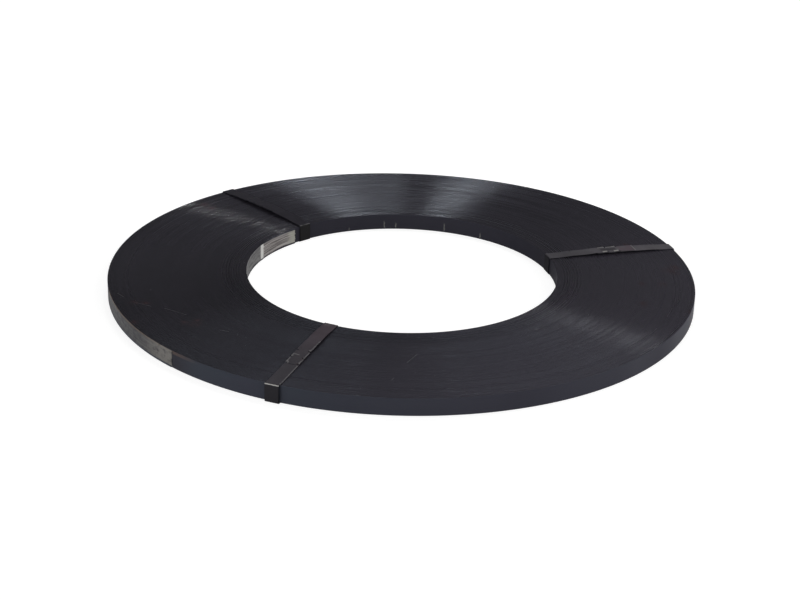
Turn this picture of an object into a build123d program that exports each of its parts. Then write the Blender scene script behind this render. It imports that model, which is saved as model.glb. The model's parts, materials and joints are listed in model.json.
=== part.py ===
"""Coil of steel strapping, ribbon wound and lying flat, held by three short ties.

The strap is wound in a single row, so every turn stands on its edge and shows as
a fine ring on both end faces. Three bands of narrower strapping run round the
section of the coil, through the bore and over the outside, and each is closed on
top with a notched lap joint. The coil rests on the undersides of the ties.

The origin is on the coil's axis at the height of the tie undersides, +Z is the
axis, and the first tie lies a little above +X.
"""

import os
from itertools import cycle
from math import cos, radians, sin, sqrt

from build123d import *

# Strap and coil
STRAP_WIDTH = 16.0
STRAP_THICKNESS = 0.5
BORE_DIAMETER = 300.0
OUTER_DIAMETER = 564.0

# Ties
TIE_WIDTH = 13.0
TIE_THICKNESS = 0.5
TIE_BEND_RADIUS = 0.8          # inside of the bend over each corner of the coil
TIE_SLACK = 0.15               # between a tie and the face it lies on
TIE_TAB = 5.0                  # straight strap beside each bend

# Where each tie crosses the outside and the bore, in degrees from +X
TIE_ANGLES = {
    "tie_right": (16.1, 16.4),
    "tie_back_left": (132.3, 132.3),
    "tie_front_left": (248.1, 245.6),
}

# Lap joint on top of each tie
LAP_LENGTH = 41.5
LAP_OFFSET = 4.8               # outwards from the middle of the run
KEY_COUNT = 3                  # pairs of keys
KEY_PITCH = 14.0
KEY_SETBACK = 4.5              # first pair, from the outer end of the lap
KEY_LENGTH = 5.0
KEY_WIDTH = 2.2
KEY_RISE = 0.5
NOTCH_LENGTH = 1.6

# Bands of turns on the end faces, from the bore outwards: the width of each band
# and how far it has slipped below the proudest turns. A narrow gap shows between
# neighbours, and the list starts again where the coil is larger.
BANDS = (
    (4.5, 0.10),
    (4.0, 0.00),
    (4.5, 0.20),
    (6.0, 0.00),
    (22.0, 0.15),
    (26.0, 0.00),
    (23.5, 0.20),
    (21.5, 0.05),
)
LEAST_LAST_BAND = 16.0
GAP_WIDTH = 2 * STRAP_THICKNESS
GAP_DEPTH = 0.6
RIM_CHAMFER = TIE_BEND_RADIUS / 2    # worn corners that the bends of the ties bed on

BORE_RADIUS = BORE_DIAMETER / 2
OUTER_RADIUS = OUTER_DIAMETER / 2
COIL_BOTTOM = TIE_THICKNESS + TIE_SLACK
COIL_TOP = COIL_BOTTOM + STRAP_WIDTH
TIE_TOP = COIL_TOP + TIE_SLACK + TIE_THICKNESS


def end_face_outline():
    """Section of one end face from the bore outwards, as (radius, depth) points."""
    bands = cycle(BANDS)
    width, drop = next(bands)
    edge = BORE_RADIUS + width
    points = [(BORE_RADIUS, drop + RIM_CHAMFER), (BORE_RADIUS + RIM_CHAMFER, drop)]
    while edge < OUTER_RADIUS - LEAST_LAST_BAND:
        width, next_drop = next(bands)
        points += [
            (edge - GAP_WIDTH / 2, drop),
            (edge, max(drop, next_drop) + GAP_DEPTH),
            (edge + GAP_WIDTH / 2, next_drop),
        ]
        edge += width
        drop = next_drop
    points += [(OUTER_RADIUS - RIM_CHAMFER, drop), (OUTER_RADIUS, drop + RIM_CHAMFER)]
    return points


def strap_coil():
    """All turns as one turned ring, with the gaps between bands on both ends."""
    outline = end_face_outline()
    top = [(radius, COIL_TOP - depth) for radius, depth in outline]
    bottom = [(radius, COIL_BOTTOM + depth) for radius, depth in reversed(outline)]
    section = Plane.XZ * make_face(Polyline(*top, *bottom, close=True))
    return revolve(section, Axis.Z)


def fold(angle, leg_face, tab_end):
    """The tie's two bends and the leg between them, flat against a wall of the coil.

    leg_face is the distance from the axis to the side of the leg that faces the
    coil, and tab_end is where the straight strap beside the bends stops.
    """
    away = 1 if leg_face > tab_end else -1
    leg_back = leg_face + away * TIE_THICKNESS
    outside = Pos((leg_back + tab_end) / 2, TIE_TOP / 2) * Rectangle(
        abs(leg_back - tab_end), TIE_TOP
    )
    inside = Pos((leg_face + tab_end) / 2, TIE_TOP / 2) * Rectangle(
        abs(leg_face - tab_end), TIE_TOP - 2 * TIE_THICKNESS
    )
    far = -1 if away > 0 else 0
    outside = fillet(
        outside.vertices().group_by(Axis.X)[far], TIE_BEND_RADIUS + TIE_THICKNESS
    )
    inside = fillet(inside.vertices().group_by(Axis.X)[far], TIE_BEND_RADIUS)
    out = radians(angle)
    plane = Plane((0, 0, 0), x_dir=(cos(out), sin(out), 0), z_dir=(sin(out), -cos(out), 0))
    return extrude(plane * (outside - inside), TIE_WIDTH / 2, both=True)


def tie(outer_angle, inner_angle):
    """One closed tie: a fold outside, a fold in the bore, two runs and the lap joint."""
    outer_start = OUTER_RADIUS - TIE_TAB
    inner_start = BORE_RADIUS + TIE_TAB
    # A flat leg in the round bore touches it along its two edges first.
    bore_chord = sqrt(BORE_RADIUS**2 - (TIE_WIDTH / 2) ** 2)

    def corner(angle, radius, side):
        turn = radians(angle)
        offset = side * TIE_WIDTH / 2
        return Vector(
            radius * cos(turn) - offset * sin(turn),
            radius * sin(turn) + offset * cos(turn),
        )

    def at(radius, side):
        """Point on the straight run, side is -1 and 1 at the strap's two edges."""
        share = (radius - inner_start) / (outer_start - inner_start)
        inner = corner(inner_angle, inner_start, side)
        outer = corner(outer_angle, outer_start, side)
        return inner + (outer - inner) * share

    def run(start, end, height):
        """Flat length of strap between two radii, resting at a height."""
        edge = Polyline(at(start, -1), at(end, -1), at(end, 1), at(start, 1), close=True)
        return Pos(0, 0, height) * extrude(make_face(edge), TIE_THICKNESS)

    def key(radius, side):
        """Sheared tongue at the edge of the joint, rising towards the lap's end."""
        foot = at(radius - KEY_LENGTH / 2, side)
        along = (at(radius + KEY_LENGTH / 2, side) - foot).normalized()
        inward = Vector(along.Y, -along.X) * side
        plane = Plane(
            foot + Vector(0, 0, lap_top), x_dir=along, z_dir=along.cross(Vector(0, 0, 1))
        )
        wedge = plane * make_face(
            Polyline((0, 0), (KEY_LENGTH, 0), (KEY_LENGTH, KEY_RISE), close=True)
        )
        return extrude(wedge, KEY_WIDTH, dir=inward)

    def notch(radius, side):
        """Opening behind a key, through both layers of the lap."""
        start = radius + KEY_LENGTH / 2
        end = start + NOTCH_LENGTH
        share = 1 - 2 * KEY_WIDTH / TIE_WIDTH
        edge = Polyline(
            at(start, side), at(end, side), at(end, side * share), at(start, side * share),
            close=True,
        )
        depth = 2 * TIE_THICKNESS
        return Pos(0, 0, lap_top - depth) * extrude(make_face(edge), depth + KEY_RISE)

    lap_top = TIE_TOP + TIE_THICKNESS
    lap_end = (inner_start + outer_start) / 2 + LAP_OFFSET + LAP_LENGTH / 2
    band = fold(outer_angle, OUTER_RADIUS + TIE_SLACK, outer_start)
    band += fold(inner_angle, bore_chord - TIE_SLACK / 2, inner_start)
    band += run(inner_start, outer_start, 0)
    band += run(inner_start, outer_start, TIE_TOP - TIE_THICKNESS)
    band += run(lap_end - LAP_LENGTH, lap_end, TIE_TOP)
    for pair in range(KEY_COUNT):
        radius = lap_end - KEY_SETBACK - pair * KEY_PITCH
        for side in (-1, 1):
            band += key(radius, side)
            band -= notch(radius, side)
    return band


os.makedirs("parts", exist_ok=True)
export_step(strap_coil(), "parts/strap_coil.step")
for name, (outer_angle, inner_angle) in TIE_ANGLES.items():
    export_step(tie(outer_angle, inner_angle), f"parts/{name}.step")
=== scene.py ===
import json
from math import ceil, cos, degrees, pi, radians, sin, sqrt

import bmesh
import bpy
from mathutils import Matrix, Vector, noise


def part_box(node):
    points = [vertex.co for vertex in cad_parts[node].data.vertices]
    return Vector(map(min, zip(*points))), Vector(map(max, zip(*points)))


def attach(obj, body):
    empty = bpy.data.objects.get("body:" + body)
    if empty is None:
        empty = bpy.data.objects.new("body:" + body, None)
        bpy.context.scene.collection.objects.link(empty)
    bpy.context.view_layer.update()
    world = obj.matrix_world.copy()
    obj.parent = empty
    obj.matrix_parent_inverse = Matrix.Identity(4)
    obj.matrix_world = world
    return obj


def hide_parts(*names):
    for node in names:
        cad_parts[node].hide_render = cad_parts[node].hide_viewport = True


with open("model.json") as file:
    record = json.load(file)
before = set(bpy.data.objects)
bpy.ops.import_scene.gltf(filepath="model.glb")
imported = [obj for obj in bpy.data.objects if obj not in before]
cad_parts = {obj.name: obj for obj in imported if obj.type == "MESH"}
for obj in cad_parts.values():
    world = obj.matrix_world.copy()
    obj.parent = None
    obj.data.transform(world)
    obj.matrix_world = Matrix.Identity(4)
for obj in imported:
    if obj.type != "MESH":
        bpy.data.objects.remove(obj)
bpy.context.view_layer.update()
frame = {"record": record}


# The wound strap. One length of painted steel strapping stands on its edge and
# spirals outwards, so both end faces show some 260 fine rings. Its upper edge is
# rounded more towards the bore, and every turn sits a hair higher or lower.
MM = 0.001
coil_low, coil_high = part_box("strap_coil")
bore = next(m for m in frame["record"]["mounts"] if m["name"] == "bore")
bore_radius = bore["dims"]["r_mm"] * MM
outer_radius = coil_high.x
strap_width = coil_high.z - coil_low.z
strap_middle = (coil_high.z + coil_low.z) / 2
strap_thickness = 0.5 * MM
inner_end_angle = 137.4           # degrees from +X
outer_end_angle = 225.6
turns = 263 + (outer_end_angle - inner_end_angle) / 360
first_radius = bore_radius + strap_thickness / 2
pitch = (outer_radius - strap_thickness / 2 - first_radius) / turns
turn_points = 100                 # places that one turn is swept through
turn_height = strap_middle - 0.1 * MM            # middle height of the turns
turn_slip = 0.25 * MM             # how unevenly the turns stand
slack_drop = 0.08 * MM            # how much lower a slack turn lies
lean_along = 0.007                # range of a turn's lean along its length, in radians
lean_inwards = 0.16               # and of its lean towards the bore
slack_rings = {                   # radius of slack turns in millimetres, and their slackness
    157.6: 0.8, 160.2: 0.9, 162.5: 1.0, 164.9: 0.8, 167.2: 1.0, 169.8: 0.9, 173.0: 0.5,
    251.0: 0.2, 263.2: 0.35, 267.4: 0.3, 279.1: 0.5,
}


class Wire:
    """A node's output in a tree, which can be used in sums."""

    def __init__(self, tree, output=None):
        self.tree = tree
        self.output = output

    def node(self, kind, settings, *values, output=0, **named):
        """Add a node: its settings first, then the values or links of its inputs."""
        made = self.tree.nodes.new(kind)
        for key, value in settings.items():
            setattr(made, key, value)
        places = list(enumerate(values))
        places += [(key.replace("_", " "), value) for key, value in named.items()]
        for key, value in places:
            if isinstance(value, Wire):
                self.tree.links.new(value.output, made.inputs[key])
            else:
                made.inputs[key].default_value = value
        return Wire(self.tree, made.outputs[output])

    def sum(self, operation, *values):
        return self.node("ShaderNodeMath", {"operation": operation}, *values)

    def __add__(self, other):
        return self.sum("ADD", self, other)

    def __radd__(self, other):
        return self.sum("ADD", other, self)

    def __sub__(self, other):
        return self.sum("SUBTRACT", self, other)

    def __rsub__(self, other):
        return self.sum("SUBTRACT", other, self)

    def __mul__(self, other):
        return self.sum("MULTIPLY", self, other)

    def __rmul__(self, other):
        return self.sum("MULTIPLY", other, self)

    def __truediv__(self, other):
        return self.sum("DIVIDE", self, other)

    def __pow__(self, other):
        return self.sum("POWER", self, other)

    def __abs__(self):
        return self.sum("ABSOLUTE", self)

    def above(self, floor):
        return self.sum("MAXIMUM", self, floor)

    def below(self, ceiling):
        return self.sum("MINIMUM", self, ceiling)

    def rise(self, start, end):
        """0 up to start and 1 from end, with a smooth ramp between."""
        return self.node(
            "ShaderNodeMapRange", {"interpolation_type": "SMOOTHSTEP"}, self, start, end, 0.0, 1.0
        )

    def parts(self):
        """The three numbers of a vector."""
        made = self.node("ShaderNodeSeparateXYZ", {}, self).output.node
        return [Wire(self.tree, output) for output in made.outputs]

    def vector(self, x, y, z):
        """Three numbers as one vector."""
        return self.node("ShaderNodeCombineXYZ", {}, x, y, z)

    def blend(self, first, second):
        """Colour that goes from first to second with this wire."""
        made = self.tree.nodes.new("ShaderNodeMix")
        made.data_type = "RGBA"
        self.tree.links.new(self.output, made.inputs[0])
        for place, colour in ((6, first), (7, second)):
            if isinstance(colour, Wire):
                self.tree.links.new(colour.output, made.inputs[place])
            else:
                made.inputs[place].default_value = (*colour, 1)
        return Wire(self.tree, made.outputs[2])

    def clouds(self, place, scale, detail=3.0, roughness=0.5):
        """Soft noise about 0.5."""
        return self.node(
            "ShaderNodeTexNoise", {}, Vector=place, Scale=scale, Detail=detail,
            Roughness=roughness,
        )


def new_material(name):
    """An empty material and a wire to start its nodes from."""
    material = bpy.data.materials.new(name)
    material.use_nodes = True
    material.node_tree.nodes.clear()
    return material, Wire(material.node_tree)


def finish_material(shader):
    """Make a shader the surface of its material."""
    end = shader.tree.nodes.new("ShaderNodeOutputMaterial")
    shader.tree.links.new(shader.output, end.inputs["Surface"])


def wound_strap_tree():
    """Geometry nodes that wind a section of strap on a spiral."""
    tree = bpy.data.node_groups.new("wound strap", "GeometryNodeTree")
    sizes = {
        "First angle": "NodeSocketFloat", "Points": "NodeSocketInt",
        "Step angle": "NodeSocketFloat", "First radius": "NodeSocketFloat",
        "Pitch": "NodeSocketFloat", "Height": "NodeSocketFloat",
        "Slip": "NodeSocketFloat", "Slack drop": "NodeSocketFloat",
        "Seed": "NodeSocketFloat", "Section": "NodeSocketObject",
        "Material": "NodeSocketMaterial",
    }
    for name, kind in sizes.items():
        tree.interface.new_socket(name=name, in_out="INPUT", socket_type=kind)
    tree.interface.new_socket(
        name="Geometry", in_out="OUTPUT", socket_type="NodeSocketGeometry"
    )
    inputs = tree.nodes.new("NodeGroupInput")
    given = {name: Wire(tree, inputs.outputs[name]) for name in sizes}
    start = Wire(tree)

    index = start.node("GeometryNodeInputIndex", {})
    angle = given["First angle"] + given["Step angle"] * index
    turn = angle / (2 * pi)
    radius = given["First radius"] + given["Pitch"] * turn
    along_x, along_y = start.sum("COSINE", angle), start.sum("SINE", angle)
    # Each turn has its own height, which drifts slowly along the strap.
    drift = start.vector(turn * 3.1, along_x * 0.55, along_y * 0.55)
    slip = start.node(
        "ShaderNodeTexNoise", {"noise_dimensions": "4D"}, Vector=drift, W=given["Seed"],
        Scale=1.0, Detail=3.0, Roughness=0.6,
    ) - 0.5
    group = start.node(
        "ShaderNodeTexNoise", {"noise_dimensions": "4D"}, Vector=(0.0, 0.0, 0.0),
        W=turn * 0.21 + given["Seed"], Scale=1.0, Detail=2.0,
    ) - 0.5
    height = given["Height"] + given["Slip"] * (slip + group)
    slack = 0.0
    for ring, slackness in slack_rings.items():
        near = (1.0 - abs(radius - ring * MM) / strap_thickness).above(0.0)
        slack = near * slackness + slack
    height = height - slack * given["Slack drop"]
    place = start.vector(radius * along_x, radius * along_y, height)

    line = start.node("GeometryNodeCurvePrimitiveLine", {})
    line = start.node(
        "GeometryNodeResampleCurve", {"mode": "COUNT"}, Curve=line, Count=given["Points"]
    )
    line = start.node("GeometryNodeSetPosition", {}, Geometry=line, Position=place)
    for label, value in (("turn", turn), ("slack", slack)):
        line = start.node(
            "GeometryNodeStoreNamedAttribute", {"data_type": "FLOAT", "domain": "POINT"},
            Geometry=line, Name=label, Value=value,
        )
    line = start.node("GeometryNodeSetCurveNormal", {"mode": "Z_UP"}, line)
    section = start.node(
        "GeometryNodeObjectInfo", {}, Object=given["Section"], output="Geometry"
    )
    strap = start.node(
        "GeometryNodeCurveToMesh", {}, Curve=line, Profile_Curve=section, Fill_Caps=True
    )
    strap = start.node("GeometryNodeSetShadeSmooth", {}, Geometry=strap, Shade_Smooth=True)
    strap = start.node("GeometryNodeRealizeInstances", {}, strap)
    strap = start.node(
        "GeometryNodeSetMaterial", {}, Geometry=strap, Material=given["Material"]
    )
    end = tree.nodes.new("NodeGroupOutput")
    tree.links.new(strap.output, end.inputs[0])
    return tree


def section_curve(name, points):
    """A closed outline in millimetres that a strap is swept with, upside down."""
    curve = bpy.data.curves.new(name, "CURVE")
    curve.dimensions = "2D"
    spline = curve.splines.new("POLY")
    spline.points.add(len(points) - 1)
    for spot, (across, up) in zip(spline.points, points):
        spot.co = (across * MM, -up * MM, 0, 1)
    spline.use_cyclic_u = True
    made = bpy.data.objects.new(name, curve)
    bpy.context.scene.collection.objects.link(made)
    return made


def scratch(start, x, y, ends, width):
    """1 on a straight scratch between two places given as radius and angle."""
    (first_x, first_y), (last_x, last_y) = (
        (radius * cos(radians(angle)), radius * sin(radians(angle))) for radius, angle in ends
    )
    from_x, from_y = x / MM - first_x, y / MM - first_y
    run_x, run_y = last_x - first_x, last_y - first_y
    share = (from_x * run_x + from_y * run_y) / (run_x ** 2 + run_y ** 2)
    share = share.above(0.0).below(1.0)
    off_x, off_y = from_x - share * run_x, from_y - share * run_y
    return 1.0 - ((off_x * off_x + off_y * off_y) ** 0.5).rise(width * 0.4, width)


bare_roughness = 0.62             # of steel that has lost its paint
bare_metallic = 0.1
shadow_black = (0.0, 0.0, 0.0)
rust_colour = (0.056, 0.030, 0.033)
rust_strength = 0.65
rust_spots = (                    # radius, angle and reach, in millimetres and degrees
    (264, 202, 8), (254, 203, 7), (227, 216.5, 7), (233, 218, 9), (240, 216, 7), (278, 211, 7),
    (254, 142.5, 9), (266, 142, 9), (240, 19.5, 9), (262, 3, 11), (268, 5, 9), (265, 2, 9),
    (236, 343, 8), (232, 355, 7), (251, 355.5, 8), (282, 342.5, 8),
)


def rust(start, place, x, y):
    """Share of rust, in freckles about the spots where the strap was damp."""
    damp = 0.0
    for spot_radius, spot_angle, reach in rust_spots:
        spot_x = x / MM - spot_radius * cos(radians(spot_angle))
        spot_y = y / MM - spot_radius * sin(radians(spot_angle))
        distance = (spot_x * spot_x + spot_y * spot_y) ** 0.5
        damp = (1.0 - distance.rise(0.0, float(reach))).above(damp)
    freckles = start.clouds(place, 220.0, 4.0, 0.7).rise(0.38, 0.60)
    return damp * freckles * rust_strength


scuff_colour = (0.10, 0.10, 0.10)
scuff_strength = 0.4
handling_scratches = (            # both ends as (radius, angle), and the width
    (((212, 271.8), (195, 274.5)), 0.8), (((247, 268.6), (243, 269)), 0.6),
    (((275, 196.5), (271, 198.5)), 0.8), (((263, 202), (252, 205)), 0.5),
    (((242, 207), (230, 212.5)), 0.6), (((223, 224), (219, 226)), 0.6),
)


def scuffs_and_dust(start, place, x, y):
    """1 on specks of dust and on the scratches from handling."""
    specks = start.node(
        "ShaderNodeTexVoronoi", {"feature": "F1"}, Vector=place, Scale=130.0, output="Distance"
    )
    scuffs = (1.0 - specks.rise(0.04, 0.10)) * start.clouds(place, 17.0, 2.0).rise(0.58, 0.66)
    for ends, width in handling_scratches:
        scuffs = scuffs.above(scratch(start, x, y, ends, width))
    return scuffs


def strapping_enamel(name, dark, light, sheen_tone, dullness, shine, steel=None):
    """Black-blue enamel with fine streaks that run with the turns.

    The third colour is a painted sheen over the side towards +X and -Y, where light
    from the right falls; dullness is its least roughness and shine its specular level.
    steel is a function of (wire, x, y, z, radius) that gives the share of bare steel
    and its colour, or None where the enamel is whole.
    """
    material, start = new_material(name)
    place = start.node("ShaderNodeTexCoord", {}, output="Object")
    x, y, z = place.parts()
    radius = (x * x + y * y) ** 0.5
    turn, slack = (
        start.node("ShaderNodeAttribute", {"attribute_name": label}, output="Fac")
        for label in ("turn", "slack")
    )
    round_x, round_y = x / radius, y / radius
    streak = start.clouds(start.vector(round_x * 0.7, round_y * 0.7, turn * 0.35), 1.0, 4.0, 0.7)
    group = start.clouds(start.vector(round_x * 0.6, round_y * 0.6, turn * 0.13), 1.0, 3.0)
    wander = start.clouds(start.vector(round_x * 5.0, round_y * 5.0, turn * 0.35), 1.0, 4.0, 0.6)
    cloud = start.clouds(place, 9.0, 4.0, 0.6)
    colour = (streak * 0.4 + group * 0.3 + cloud * 0.3).rise(0.38, 0.60).blend(dark, light)
    # Painted sheen: lighter towards +X and -Y, where the light from the right falls.
    painted_sheen = (x * 0.75 - y * 0.66).rise(0.0, 0.26)
    colour = (painted_sheen * 0.9).blend(colour, sheen_tone)
    colour = rust(start, place, x, y).blend(colour, rust_colour)
    scuffs = scuffs_and_dust(start, place, x, y)
    colour = (scuffs * scuff_strength).blend(colour, scuff_colour)
    dull = (streak * 0.6 + group * 0.4).rise(0.38, 0.62)
    roughness = dullness + 0.12 * dull + 0.2 * scuffs
    # Slack turns lie in the shade of their neighbours.
    shade = (slack * (0.7 + 0.6 * group.rise(0.35, 0.6))).below(1.0)
    colour = (shade * 0.9).blend(colour, shadow_black)
    roughness = roughness + 0.5 * shade
    metal = 0.0
    if steel:
        bare, steel_colour = steel(start, x, y, z, radius)
        colour = bare.blend(colour, steel_colour)
        roughness = roughness * (1.0 - bare) + bare_roughness * bare
        metal = bare * bare_metallic
    # Each turn leans a little out of true, along its length and towards the bore.
    facing = start.node("ShaderNodeNewGeometry", {}, output="Normal")
    for lean, towards in (
        ((wander - 0.5) * lean_along, start.vector(0.0 - round_y, round_x, 0.0)),
        ((streak - 0.5) * lean_inwards, start.vector(round_x, round_y, 0.0)),
    ):
        lean = start.node("ShaderNodeVectorMath", {"operation": "SCALE"}, towards, Scale=lean)
        facing = start.node("ShaderNodeVectorMath", {"operation": "ADD"}, facing, lean)
    facing = start.node("ShaderNodeVectorMath", {"operation": "NORMALIZE"}, facing)
    shiny, matt = (
        start.node(
            "ShaderNodeBsdfPrincipled", {}, Base_Color=colour, Roughness=roughness,
            Metallic=metal, Normal=facing, Specular_IOR_Level=level,
            Specular_Tint=(0.74, 0.84, 1.0, 1),
        )
        for level in (shine, shine * 0.4)
    )
    finish_material(start.node("ShaderNodeMixShader", {}, dull.above(shade), shiny, matt))
    return material


half_thickness = strap_thickness / 2 / MM
half_width = strap_width / 2 / MM
# From the side towards the bore over the top edge to the outer side, and back below.
strap_section = section_curve("strap_section", (
    (-half_thickness, half_width - 0.30), (-0.19, half_width - 0.14),
    (-0.08, half_width - 0.045), (0.06, half_width), (0.215, half_width - 0.004),
    (0.229, half_width - 0.006), (half_thickness, half_width - 0.06),
    (half_thickness, 0.1 - half_width), (0.15, -half_width), (-0.15, -half_width),
    (-half_thickness, 0.1 - half_width),
))
wind = wound_strap_tree()
# Its third colour is a painted sheen, on the side towards +X and -Y.
enamel = strapping_enamel(
    "strapping_enamel", dark=(0.0200, 0.0186, 0.0243), light=(0.0290, 0.0269, 0.0348),
    sheen_tone=(0.052, 0.048, 0.062), dullness=0.07, shine=0.75,
)


def wind_turns(name, first_turn, last_turn):
    """Wind the turns between two counts from the inner end into one piece."""
    holder = bpy.data.objects.new(name, bpy.data.meshes.new(name))
    bpy.context.scene.collection.objects.link(holder)
    winding = holder.modifiers.new("winding", "NODES")
    winding.node_group = wind
    count = last_turn - first_turn
    steps = ceil(count * turn_points)
    values = {
        "First angle": radians(inner_end_angle) + 2 * pi * first_turn,
        "Points": steps + 1,
        "Step angle": 2 * pi * count / steps,
        "First radius": first_radius - pitch * inner_end_angle / 360,
        "Pitch": pitch,
        "Height": turn_height,
        "Slip": turn_slip,
        "Slack drop": slack_drop,
        "Seed": 3.0,
        "Section": strap_section,
        "Material": enamel,
    }
    for item in wind.interface.items_tree:
        if item.in_out == "INPUT":
            winding[item.identifier] = values[item.name]
    shown = holder.evaluated_get(bpy.context.evaluated_depsgraph_get())
    mesh = bpy.data.meshes.new_from_object(shown)
    holder.modifiers.remove(winding)
    holder.data = mesh
    mesh.name = name
    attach(holder, "root")
    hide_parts("strap_coil")


piece_ends = (1, turns / 3, turns * 2 / 3, turns - 1)
for name, from_turn, to_turn in zip(
    ("inner_turns", "middle_turns", "outer_turns"), piece_ends, piece_ends[1:]
):
    wind_turns(name, from_turn, to_turn)
bpy.data.objects.remove(strap_section)


# The first and the last turn of the same strap. Their flat sides line the bore
# and the outside of the coil. Both ends have lost their paint, and the inner one
# is torn, with a crease and a bent corner a little further along.
end_turn_columns = 540
end_turn_rows = 26
end_turn_thickness = strap_thickness * 0.94      # leaves a hair to the next turn
crease_angle = 159.2
corner_angle = 189.0


def end_turn(name, first_turn, last_turn, coat, shape):
    """One turn as a sheet with its own rows across the strap.

    shape moves a point: it is given the angle, the height in millimetres and
    the share of the way along, and returns offsets outwards, along and up.
    """
    columns, rows = end_turn_columns, end_turn_rows
    points, faces, turn_counts = [], [], []
    for column in range(columns + 1):
        share = column / columns
        angle = inner_end_angle + 360 * (first_turn + (last_turn - first_turn) * share)
        radius = first_radius + pitch * (angle - inner_end_angle) / 360
        for row in range(rows + 1):
            up = -half_width * cos(pi * row / rows)
            outwards, along, rise = shape(angle % 360, up, share)
            turned = radians(angle) + along * MM / radius
            turn_counts.append(angle / 360)
            points.append((
                (radius + outwards * MM) * cos(turned),
                (radius + outwards * MM) * sin(turned),
                strap_middle + (up + rise) * MM,
            ))
    for column in range(columns):
        for row in range(rows):
            a = column * (rows + 1) + row
            b = a + rows + 1
            faces.append((a, b, b + 1, a + 1))
    mesh = bpy.data.meshes.new(name)
    mesh.from_pydata(points, [], faces)
    mesh.attributes.new("turn", "FLOAT", "POINT").data.foreach_set("value", turn_counts)
    mesh.polygons.foreach_set("use_smooth", [True] * len(mesh.polygons))
    mesh.materials.append(coat)
    turn = bpy.data.objects.new(name, mesh)
    bpy.context.scene.collection.objects.link(turn)
    thick = turn.modifiers.new("thickness", "SOLIDIFY")
    thick.thickness = end_turn_thickness
    thick.offset = 0
    rounded = turn.modifiers.new("rounded edge", "BEVEL")
    rounded.width = 0.12 * MM
    rounded.segments = 2
    rounded.limit_method = "ANGLE"
    rounded.angle_limit = radians(60)
    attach(turn, "root")
    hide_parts("strap_coil")


def torn(up, seed):
    """Ragged line of a broken end, in millimetres along the strap."""
    teeth = noise.noise(Vector((up * 0.55, seed, 0)))
    return 1.6 * round(teeth * 2.5) / 2.5 + 0.5 * noise.noise(Vector((up * 2.1, seed, 5)))


def inner_shape(angle, up, share):
    """The inner end: torn, sunk a little, with the crease and the bent corner."""
    if share > 0.5:
        return 0.0, 0.0, -0.1
    along = torn(up, 1.0) if share == 0 else 0.0
    crease = max(0.0, 1 - abs(angle - crease_angle))
    corner = max(0.0, 1 - abs(angle - corner_angle) / 0.8) * (up > half_width - 1)
    sunk = 0.35 * max(0.0, 1 - (angle - inner_end_angle) / 25)
    return -0.3 * crease - 0.5 * corner, along, 0.3 * corner - 0.1 - sunk


def outer_shape(angle, up, share):
    """The outer end, ragged where it was cut."""
    along = torn(up, 7.0) if share == 1 else 0.0
    return 0.0, along, -0.1


def round_angle(start, x, y):
    """Angle of a place in degrees from +X, which jumps at +X."""
    return start.sum("ARCTAN2", 0.0 - y, 0.0 - x) * degrees(1) + 180.0


wall_scratches = (                # angle, and the height in millimetres that each starts from
    (57.8, 8.0), (73.4, 11.0), (93.0, 8.0), (97.6, 10.0), (112.0, 5.0),
)


def steel_in_bore(start, x, y, z, radius):
    """Bare strap on the bore wall: rubbed at the end, creased, then smooth and grey.

    Further round, a few upright scratches go down the wall.
    """
    angle = round_angle(start, x, y)
    height = (z - coil_low.z) / MM
    brushed = start.clouds(start.vector(x * 20.0, y * 20.0, z * 900.0), 1.0, 5.0, 0.7)
    patchy = start.clouds(start.vector(x, y, z * 2.5), 120.0, 3.0)
    ragged = start.clouds(start.vector(angle * 0.3, 0.0, height * 0.8), 1.0, 4.0)
    inside = 1.0 - radius.rise(first_radius - 0.1 * MM, first_radius)
    wound = start.sum("FLOORED_MODULO", angle - inner_end_angle, 360.0) * (pitch / 360)
    wall = 1.0 - (radius - wound).rise(first_radius - 0.1 * MM, first_radius)
    low_edge = (height + ragged).rise(1.5, 2.0)
    high_edge = (height + 0.6 * ragged - (angle - inner_end_angle) * 0.06).rise(14.3, 14.7)
    along = angle.rise(inner_end_angle - 5.0, inner_end_angle - 3.0)
    along = along * (1.0 - angle.rise(corner_angle - 1.0, corner_angle + 1.0))
    past_crease = angle.rise(crease_angle - 2.2, crease_angle - 0.7)
    bare = inside * low_edge * along * (1.0 - high_edge).above(past_crease)
    rubbed = brushed.rise(0.34, 0.64).blend((0.055, 0.044, 0.046), (0.42, 0.40, 0.39))
    bright_end = 1.0 - (angle + 8.0 * patchy).rise(142.0, 146.0)
    rubbed = (bright_end * 0.7).blend(rubbed, (0.42, 0.42, 0.37))
    smooth = (brushed * 0.5 + patchy * 0.5).rise(0.35, 0.65).blend(
        (0.110, 0.109, 0.111), (0.225, 0.222, 0.222)
    )
    colour = angle.rise(crease_angle - 0.7, crease_angle + 0.3).blend(rubbed, smooth)
    for scratched, top in wall_scratches:
        line = 1.0 - abs(angle + 1.5 * ragged - 0.75 - scratched).rise(0.1, 0.32)
        line = line * (1.0 - height.rise(top - 4, top)) * height.rise(0.5, 2.0)
        bare = bare.above(line * wall * 0.4)
    # The crease and the bent corner are bare steel, painted near white with a highlight where the
    # bend catches the light.
    crease = (angle + 1.6 * ragged).rise(crease_angle - 1.0, crease_angle - 0.2)
    crease = crease * (1.0 - angle.rise(crease_angle + 0.8, crease_angle + 1.3))
    corner = angle.rise(corner_angle - 1.4, corner_angle - 0.8) * height.rise(13.5, 14.5)
    return bare, crease.above(corner).blend(colour, (0.65, 0.65, 0.63))


bare_from_angle = 189.0           # where the paint of the outside ends


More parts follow.
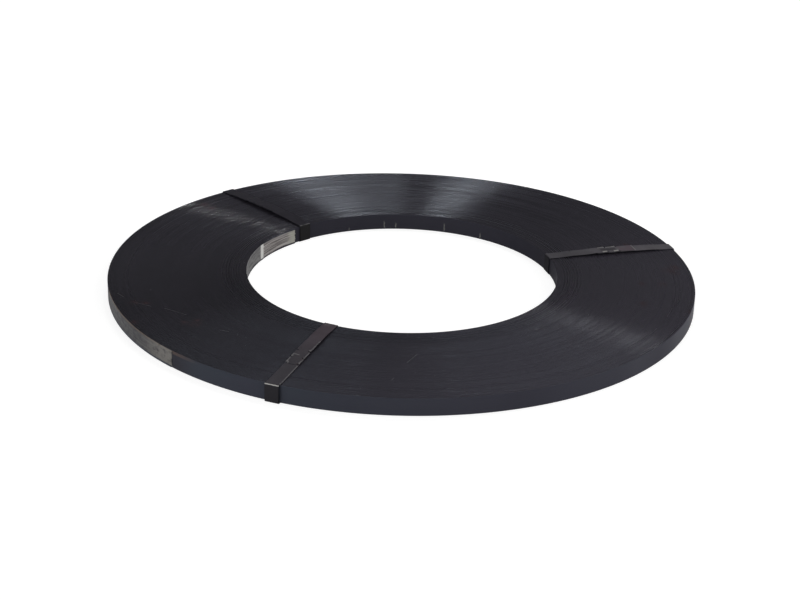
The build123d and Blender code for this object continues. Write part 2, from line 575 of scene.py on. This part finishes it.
def steel_outside(start, x, y, z, radius):
    """Bare strap on the outside, grey with a warm rub along its upper edge.

    The rub goes on over the turn beneath it, which is duller there.
    """
    angle = round_angle(start, x, y)
    height = (z - coil_low.z) / MM
    ragged = start.clouds(start.vector(x, y, z * 3.0), 260.0, 3.0)
    brushed = start.clouds(start.vector(x * 10.0, y * 10.0, z * 700.0), 1.0, 4.0, 0.6)
    outside = radius.rise(outer_radius - 0.5 * MM, outer_radius - 0.4 * MM)
    low_edge = (height + ragged * 1.2).rise(2.0, 2.7)
    start_edge = angle - 0.35 * height + 3.0 * ragged
    start_edge = start_edge.rise(bare_from_angle, bare_from_angle + 3.0)
    past_strap = angle.rise(outer_end_angle + 3.0, outer_end_angle + 5.0)
    bare = outside * low_edge * start_edge * (1.0 - past_strap)
    grey = brushed.rise(0.3, 0.7).blend((0.070, 0.069, 0.070), (0.150, 0.147, 0.145))
    # Painted shade: the bare steel is darker over its first dozen degrees, at the coil's left
    # edge.
    shaded_start = 1.0 - angle.rise(bare_from_angle + 2.0, bare_from_angle + 14.0)
    grey = (0.55 * shaded_start).blend(grey, (0.03, 0.03, 0.03))
    blotchy = start.clouds(start.vector(x, y, z * 1.5), 170.0, 3.0, 0.6)
    grey = (blotchy.rise(0.44, 0.60) * 0.65).blend(grey, (0.052, 0.046, 0.052))
    warm = (height + ragged).rise(14.6, 15.6)
    grey = (warm * 0.6).blend(grey, (0.16, 0.12, 0.09))
    near_end = (angle + 3.0 * ragged).rise(outer_end_angle - 9.6, outer_end_angle + 0.4)
    near_end = near_end * (1.0 - blotchy.rise(0.5, 0.7))
    grey = (near_end * 0.7).blend(grey, (0.27, 0.255, 0.235))
    past_end = angle.rise(outer_end_angle, outer_end_angle + 0.2)
    rub = (height + 1.5 * ragged).rise(13.4, 14.6)
    grey = past_end.blend(grey, rub.blend((0.030, 0.025, 0.031), (0.13, 0.09, 0.07)))
    fading = (angle + 3.0 * ragged).rise(outer_end_angle + 1.4, outer_end_angle + 9.4)
    return bare.above(past_end * (1.0 - fading) * 0.65), grey


# The third colour of each coat is a painted sheen on the side towards +X and -Y.
bore_coat = strapping_enamel(
    "bore_enamel", dark=(0.027, 0.026, 0.034), light=(0.041, 0.040, 0.052),
    sheen_tone=(0.027, 0.026, 0.034), dullness=0.6, shine=0.02, steel=steel_in_bore,
)
outside_coat = strapping_enamel(
    "outside_enamel", dark=(0.036, 0.043, 0.056), light=(0.052, 0.047, 0.068),
    sheen_tone=(0.042, 0.041, 0.054), dullness=0.5, shine=0.17, steel=steel_outside,
)
end_turn("first_turn", 0, 1, bore_coat, inner_shape)
end_turn("last_turn", turns - 1, turns, outside_coat, outer_shape)


# The three ties. Each is a short length of narrower strapping bent round the
# coil, its ends lapped on top and locked by three pairs of sheared keys. The
# straps bow a little clear of the coil between their bends.
tie_width = 13.0                  # millimetres, as all sizes of the ties
tie_thickness = 0.5
tie_bend = 1.2                    # of the strap's middle at each corner
tie_tab = 5.0                     # straight strap beside each bend
lap_length = 41.5
lap_offset = 4.8                  # outwards from the middle of the run
lap_ramp = (9.0, 2.0)             # where the upper layer starts and ends its rise, before the lap
key_length = 5.0
key_width = 2.2
key_rise = 0.45
notch_length = 1.6
stain_length = 16.0               # from the end of the lap
key_wear = 1.2                    # for each millimetre that a key rises
leg_shadow_width = 0.4                   # width of the painted shadow down both sides of a leg
coil_top = coil_high.z / MM
coil_bottom = coil_low.z / MM
run_start = bore_radius / MM + tie_tab
run_end = outer_radius / MM - tie_tab
lap_end = (run_start + run_end) / 2 + lap_offset + lap_length / 2
lap_start = lap_end - lap_length
tie_edge = tie_width / 2
tie_columns = (
    -tie_edge, 0.5 - tie_edge, key_width - tie_edge, -1.5,
    1.5, tie_edge - key_width, tie_edge - 0.5, tie_edge,
)


def tie_steel(name, outside_tint, bore_tint, leg_tint, stain_tint, shaded_pit=None):
    """Grey-black strapping, bright where it is marked as rubbed or as a painted highlight, and
    near black as painted shade where the mark is below 0.

    The tints are those of the top towards the outside and towards the bore, of
    the upright legs, and of the stain at the lap's end. The last argument is the
    place, seen from above and in metres, of a small punch mark painted near black
    as its shade, where the tie has one.
    """
    material, start = new_material(name)
    place = start.node("ShaderNodeTexCoord", {}, output="Object")
    x, y, z = place.parts()
    radius = (x * x + y * y) ** 0.5 / MM
    patch = start.clouds(place, 70.0, 4.0, 0.6)
    fine = start.clouds(place, 1100.0, 4.0, 0.6)
    grime = (patch * 0.4 + fine * 0.6).rise(0.35, 0.65)
    outwards = (radius + 40.0 * patch).rise(195.0, 250.0)
    tint = outwards.blend(bore_tint, outside_tint)
    dark = outwards.blend(
        tuple(0.7 * part for part in bore_tint), tuple(0.7 * part for part in outside_tint)
    )
    colour = grime.blend(dark, tint)
    outer_leg = radius.rise(outer_radius / MM + 0.6, outer_radius / MM + 1.2)
    bore_leg = 1.0 - radius.rise(bore_radius / MM - 0.2, bore_radius / MM + 0.4)
    leg = outer_leg.above(bore_leg)
    colour = leg.blend(colour, leg_tint)
    stain = start.node("ShaderNodeAttribute", {"attribute_name": "stain"}, output="Fac")
    colour = (stain * patch.rise(0.42, 0.62) * 0.5).blend(colour, stain_tint)
    if shaded_pit:
        away = ((x - shaded_pit[0]) ** 2.0 + (y - shaded_pit[1]) ** 2.0) ** 0.5 / MM
        # Painted shade: the punch mark goes near black.
        colour = away.rise(0.6, 1.0).blend((0.002, 0.002, 0.002), colour)
    marked = start.node("ShaderNodeAttribute", {"attribute_name": "wear_and_painted_light"}, output="Fac")
    # Painted shade: places marked below 0 go near black.
    colour = (0.85 * (0.0 - marked).above(0.0)).blend(colour, (0.002, 0.002, 0.003))
    blots = start.clouds(place, 330.0, 3.0)
    # Rubbed steel and painted highlights turn bright and metallic.
    wear_and_painted_light = (marked * (fine + blots)).rise(0.42, 0.75)
    bright = (marked + 0.6 * fine).rise(1.2, 1.6)
    colour = wear_and_painted_light.blend(colour, bright.blend((0.20, 0.195, 0.205), (0.55, 0.54, 0.51)))
    bump = start.node(
        "ShaderNodeBump", {}, Strength=0.3, Distance=0.0001, Height=fine + patch
    )
    shader = start.node(
        "ShaderNodeBsdfPrincipled", {}, Base_Color=colour,
        Roughness=0.34 + 0.2 * patch - 0.1 * wear_and_painted_light + 0.3 * leg, Metallic=wear_and_painted_light * 0.6, Normal=bump,
        Specular_IOR_Level=0.04,
    )
    finish_material(shader)
    return material


def tie_place(outer_angle, inner_angle, radius, height, side):
    """Point of a tie: in line with its folds at the ends, and between them on a run."""
    def beside(angle, along):
        turned = radians(angle)
        return Vector((
            along * cos(turned) - side * sin(turned), along * sin(turned) + side * cos(turned)
        ))

    if radius >= run_end:
        spot = beside(outer_angle, radius)
    elif radius <= run_start:
        spot = beside(inner_angle, radius)
    else:
        share = (radius - run_start) / (run_end - run_start)
        spot = beside(inner_angle, run_start).lerp(beside(outer_angle, run_end), share)
    return (spot.x * MM, spot.y * MM, height * MM)


def bend_points(centre, start_degrees, turn_degrees, wear):
    """Points of a quarter bend as (radius, height, wear)."""
    steps = 6
    made = []
    for step in range(steps + 1):
        angle = radians(start_degrees + turn_degrees * step / steps)
        made.append((
            centre[0] + tie_bend * cos(angle), centre[1] + tie_bend * sin(angle),
            wear * sin(pi * step / steps) ** 2,
        ))
    return made


def tie_path(lifts, proud, bend_wear):
    """Middle line of a tie from its lower end round to its upper end.

    lifts are its heights clear of the coil at even steps from the bore outwards,
    and proud is how far its outer leg stands off the outside of the coil.
    """
    foot = tie_thickness / 2
    outside = outer_radius / MM + proud + foot
    leg_clearance = 0.1
    in_bore = sqrt((bore_radius / MM) ** 2 - tie_edge ** 2) - leg_clearance - foot

    def bowed(radius):
        """Height of the strap's middle over the coil, which bows between the lifts."""
        share = min(max((radius - run_start) / (run_end - run_start), 0), 1)
        place = share * (len(lifts) - 1)
        step = min(int(place), len(lifts) - 2)
        ease = 0.5 - 0.5 * cos(pi * (place - step))
        lift = lifts[step] + (lifts[step + 1] - lifts[step]) * ease
        return coil_top + lift + tie_thickness / 2

    def run(first, last, upper):
        """Strap over the top in steps of up to a millimetre, raised at the lap if upper."""
        count = ceil(abs(last - first))
        made = []
        for step in range(count + 1):
            radius = first + (last - first) * step / count
            ramp = (radius - lap_start + lap_ramp[0]) / (lap_ramp[0] - lap_ramp[1])
            over = tie_thickness * min(max(ramp, 0), 1) * upper
            made.append((radius, bowed(radius) + over, 0.0))
        return made

    path = run(lap_start, outside - tie_bend, 0)
    path += bend_points((outside - tie_bend, path[-1][1] - tie_bend), 90, -90, bend_wear[0])
    path += bend_points((outside - tie_bend, foot + tie_bend), 0, -90, 0.3)
    path += [
        (radius, foot, 0.0) for radius in (run_end, (run_start + run_end) / 2, run_start)
    ]
    path += bend_points((in_bore + tie_bend, foot + tie_bend), 270, -90, 0.3)
    upper = run(in_bore + tie_bend, lap_end, 1)
    path += bend_points(
        (in_bore + tie_bend, upper[0][1] - tie_bend), 180, -90, bend_wear[1]
    )
    lap_row = len(path) + next(i for i, point in enumerate(upper) if point[0] >= lap_start)
    return path + upper, lap_row


def tie_sheet(name, angles, path, lap_row, key_radii, rubbed):
    """Lay out one tie as a sheet of strap with its keys raised and notches cut.

    rubbed lists places on top as (first and last radius, first and last side, wear),
    where wear is rubbed steel or a painted highlight, and wear below 0 paints them dark as shade.
    """
    def key_lift(radius, side):
        """Height of a key at a place, or None in the notch behind it."""
        if abs(side) < tie_edge - key_width:
            return 0.0
        for middle in key_radii:
            along = radius - middle + key_length / 2
            if 0 <= along <= key_length:
                return key_rise * along / key_length
            if key_length < along < key_length + notch_length:
                return None
        return 0.0

    points, faces, wear_and_painted_light, stain = [], [], [], []
    lap_rows = ceil(lap_length)       # the path starts on the lap's lower layer
    for row in range(len(path) - 1):
        upper = row >= lap_row
        covered = not upper and lap_start < path[row][0] < lap_end
        for column in range(len(tie_columns) - 1):
            middle = (
                (path[row][0] + path[row + 1][0]) / 2,
                (tie_columns[column] + tie_columns[column + 1]) / 2,
            )
            raised = key_lift(*middle) if upper or row < lap_rows else 0.0
            if raised is None:
                continue
            face = []
            for r, c in (
                (row, column), (row, column + 1), (row + 1, column + 1), (row + 1, column)
            ):
                radius, height, wear = path[r]
                side = tie_columns[c]
                lift = (key_lift(radius, side) or 0.0) if raised else 0.0
                # Marks below 0 are painted shade; the others are wear or painted highlights.
                for first, last, near, far, amount in rubbed:
                    within = first <= radius <= last and near <= side <= far
                    if within and height > coil_top and not covered:
                        wear = amount if amount < 0 else max(wear, amount)
                # The sides of each leg get a line of painted shadow, where the leg stands off the
                # coil.
                on_leg = coil_bottom < height < coil_top - 1
                if on_leg and abs(side) > tie_edge - leg_shadow_width:
                    wear = -1.0
                face.append(len(points))
                points.append(tie_place(*angles, radius, height + lift, side))
                wear_and_painted_light.append(wear if wear < 0 else max(wear, key_wear * lift))
                stain.append(1.0 if upper and radius > lap_end - stain_length else 0.0)
            faces.append(face)
    mesh = bpy.data.meshes.new(name)
    mesh.from_pydata(points, [], faces)
    mesh.attributes.new("wear_and_painted_light", "FLOAT", "POINT").data.foreach_set("value", wear_and_painted_light)
    mesh.attributes.new("stain", "FLOAT", "POINT").data.foreach_set("value", stain)
    work = bmesh.new()
    work.from_mesh(mesh)
    bmesh.ops.remove_doubles(work, verts=work.verts, dist=0.01 * MM)
    bmesh.ops.recalc_face_normals(work, faces=work.faces)
    work.to_mesh(mesh)
    work.free()
    mesh.polygons.foreach_set("use_smooth", [True] * len(mesh.polygons))
    return mesh


def make_tie(name, angles, path, key_radii, rubbed, steel):
    """Bend the sheet, give it thickness and rounded edges, and replace the plain tie."""
    mesh = tie_sheet(name, angles, *path, key_radii, rubbed)
    mesh.materials.append(steel)
    tie = bpy.data.objects.new(name + "_strap", mesh)
    bpy.context.scene.collection.objects.link(tie)
    thick = tie.modifiers.new("thickness", "SOLIDIFY")
    thick.thickness = tie_thickness * MM * 0.96
    thick.offset = 0
    rounded = tie.modifiers.new("rounded edge", "BEVEL")
    rounded.width = 0.08 * MM
    rounded.segments = 2
    rounded.limit_method = "ANGLE"
    rounded.angle_limit = radians(50)
    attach(tie, "root")
    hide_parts(name)


# On the right tie, the rubbed place with wear below 0 is painted shade in the middle of the lap.
make_tie(
    "tie_right", angles=(16.1, 16.4),
    path=tie_path(lifts=(0.4, 1.4, 1.8, 1.8, 1.5, 0.5), proud=0.3, bend_wear=(0.6, 0.5)),
    key_radii=(221.0, 209.0, 197.0),
    rubbed=(
        (206, 222, -1.6, 1.6, -0.6), (204, 223, 5.9, 6.6, 1.2), (206, 211, -6.1, -4.2, 1.3),
        (218, 223, -6.1, -4.2, 1.3), (240.4, 241.6, -6.6, 6.6, 0.85),
    ),
    steel=tie_steel(
        "right_tie_steel", outside_tint=(0.108, 0.103, 0.115), bore_tint=(0.080, 0.077, 0.087),
        leg_tint=(0.016, 0.0153, 0.019), stain_tint=(0.085, 0.055, 0.070), shaded_pit=(0.1665, 0.0544),
    ),
)
make_tie(
    "tie_back_left", angles=(132.3, 132.3),
    path=tie_path(lifts=(0.9, 2.2, 2.6, 2.5, 1.9, 0.5), proud=0.5, bend_wear=(0.1, 0.6)),
    key_radii=(239.0, 225.0, 211.0),
    rubbed=((235, 240, -6.6, -6, 0.5),),
    steel=tie_steel(
        "back_tie_steel", outside_tint=(0.036, 0.0345, 0.0425), bore_tint=(0.030, 0.0285, 0.0360),
        leg_tint=(0.0190, 0.0185, 0.0190), stain_tint=(0.033, 0.0315, 0.0390),
    ),
)
# On the front tie, the strip along its right side from 190 to 281 mm is a painted highlight where
# the cut edge catches the light.
make_tie(
    "tie_front_left", angles=(248.1, 245.6),
    path=tie_path(lifts=(0.3, 1.3, 1.1, 0.5, 0.3, 0.3), proud=1.7, bend_wear=(1.4, 0.3)),
    key_radii=(237.0, 225.5, 211.0),
    rubbed=(
        (222, 241.6, -6.6, -5.9, 0.95), (222.5, 224.5, -6.6, 0, 0.85), (190, 281, 5.9, 6.6, 0.7),
        (238.5, 241.6, -6.6, -4, 0.85), (150, 156, -4.4, 1.6, 0.5),
    ),
    steel=tie_steel(
        "front_tie_steel", outside_tint=(0.066, 0.062, 0.072), bore_tint=(0.080, 0.066, 0.078),
        leg_tint=(0.0320, 0.0308, 0.0355), stain_tint=(0.070, 0.036, 0.036),
    ),
)


# The floor under the coil, a plain white studio sweep that keeps its shadow.
floor_reach = 30.0
floor_grey = 0.4
floor_glow = 0.8                  # where the camera or a reflection sees the floor
corners = [(-1, -1), (1, -1), (1, 1), (-1, 1)]
floor_mesh = bpy.data.meshes.new("studio_floor")
floor_mesh.from_pydata(
    [(side * floor_reach, end * floor_reach, 0) for side, end in corners],
    [], [(0, 1, 2, 3)],
)
floor_material, floor_start = new_material("studio_floor")
rays = floor_start.node("ShaderNodeLightPath", {}).output.node.outputs
seen = Wire(floor_start.tree, rays["Is Camera Ray"])
for kind in ("Is Glossy Ray", "Is Transmission Ray"):
    seen = seen.above(Wire(floor_start.tree, rays[kind]))
floor_shader = floor_start.node(
    "ShaderNodeBsdfPrincipled", {}, Base_Color=(floor_grey, floor_grey, floor_grey, 1),
    Roughness=0.9, Emission_Color=(1, 1, 1, 1), Emission_Strength=seen * floor_glow,
)
finish_material(floor_shader)
floor_mesh.materials.append(floor_material)
floor = bpy.data.objects.new("studio_floor", floor_mesh)
bpy.context.scene.collection.objects.link(floor)


# Studio light. Three boxes above and behind the coil draw the bright patches at its
# back, and those at the right draw the streaks by the back tie and at the front right.
# The room is pale at both sides, and dim straight behind and in front of the coil.
softbox_distance = 5.0
reflectors = (                    # angle from the right, and brightness
    (0, 2.0), (90, 0.1), (180, 1.3), (225, 2.4), (270, 0.4), (315, 1.8),
)
reflector_height = radians(25)
reflector_focus = 12.0


def softbox(name, towards, width, height, radiance, colour=(1, 1, 1)):
    """A rectangular lamp in a direction from the coil, facing it."""
    lamp = bpy.data.lights.new(name, "AREA")
    lamp.shape = "RECTANGLE"
    lamp.size = width
    lamp.size_y = height
    lamp.energy = radiance * pi * width * height
    lamp.color = colour
    made = bpy.data.objects.new(name, lamp)
    direction = Vector(towards).normalized()
    made.location = direction * softbox_distance
    made.rotation_euler = direction.to_track_quat("Z", "Y").to_euler()
    bpy.context.scene.collection.objects.link(made)


softbox("box_behind_left", (-0.086, 0.5, 0.862), width=0.36, height=0.5, radiance=26)
softbox("box_behind_middle", (0.038, 0.5, 0.864), width=0.40, height=0.5, radiance=12)
softbox("box_behind_right", (0.120, 0.5, 0.860), width=0.44, height=0.5, radiance=26)
softbox(
    "box_streak", (0.491, 0.499, 0.714), width=0.04, height=0.35, radiance=225,
    colour=(1, 0.94, 0.84),
)
right, warm_white = (0.8, 0.385, 0.46), (1, 0.97, 0.93)
softbox("box_right", right, width=1.0, height=0.5, radiance=16, colour=warm_white)
softbox("box_right_glow", right, width=2.0, height=0.5, radiance=6, colour=warm_white)

world = bpy.data.worlds.new("studio")
world.use_nodes = True
room = Wire(world.node_tree)
across, back, up = room.node("ShaderNodeTexCoord", {}, output="Generated").parts()
brightness = 0.0
for azimuth, radiance in reflectors:
    aim_across = cos(reflector_height) * cos(radians(azimuth))
    aim_back = cos(reflector_height) * sin(radians(azimuth))
    aim = across * aim_across + back * aim_back + up * sin(reflector_height)
    brightness = aim.above(0.0) ** reflector_focus * radiance + brightness
# Grey of that brightness, which may go above 1.
room_light = brightness.blend((0.0, 0.0, 0.0), (1.0, 1.0, 1.0))
room_light.output.node.clamp_factor = False
world.node_tree.links.new(
    room_light.output, world.node_tree.nodes["Background"].inputs["Color"]
)
bpy.context.scene.world = world


# The camera, a long lens a little above the coil and rolled by a degree and a half.
camera_elevation = 22.7238        # degrees, as the next angles
camera_tilt = 0.5171              # further down than the coil's middle
camera_aside = -0.0389
camera_roll = 1.5540
camera_distance = 1.71795         # metres
camera_lens = 79.456              # millimetres

level = radians(camera_elevation)
camera_place = Vector((
    0, -camera_distance * cos(level), coil_low.z + camera_distance * sin(level)
))
down, aside, roll = (
    radians(camera_elevation + camera_tilt), radians(camera_aside), radians(camera_roll)
)
ahead = Vector((sin(aside) * cos(down), cos(aside) * cos(down), -sin(down)))
rightwards = Vector((cos(aside), -sin(aside), 0))
upwards = rightwards.cross(ahead)
camera_x = rightwards * cos(roll) + upwards * sin(roll)
camera_y = upwards * cos(roll) - rightwards * sin(roll)
camera = bpy.data.objects.new("camera", bpy.data.cameras.new("camera"))
camera.data.lens = camera_lens
camera.matrix_world = Matrix((
    (camera_x.x, camera_y.x, -ahead.x, camera_place.x),
    (camera_x.y, camera_y.y, -ahead.y, camera_place.y),
    (camera_x.z, camera_y.z, -ahead.z, camera_place.z),
    (0, 0, 0, 1),
))
bpy.context.scene.collection.objects.link(camera)
bpy.context.scene.camera = camera
bpy.context.scene.view_settings.view_transform = "Standard"
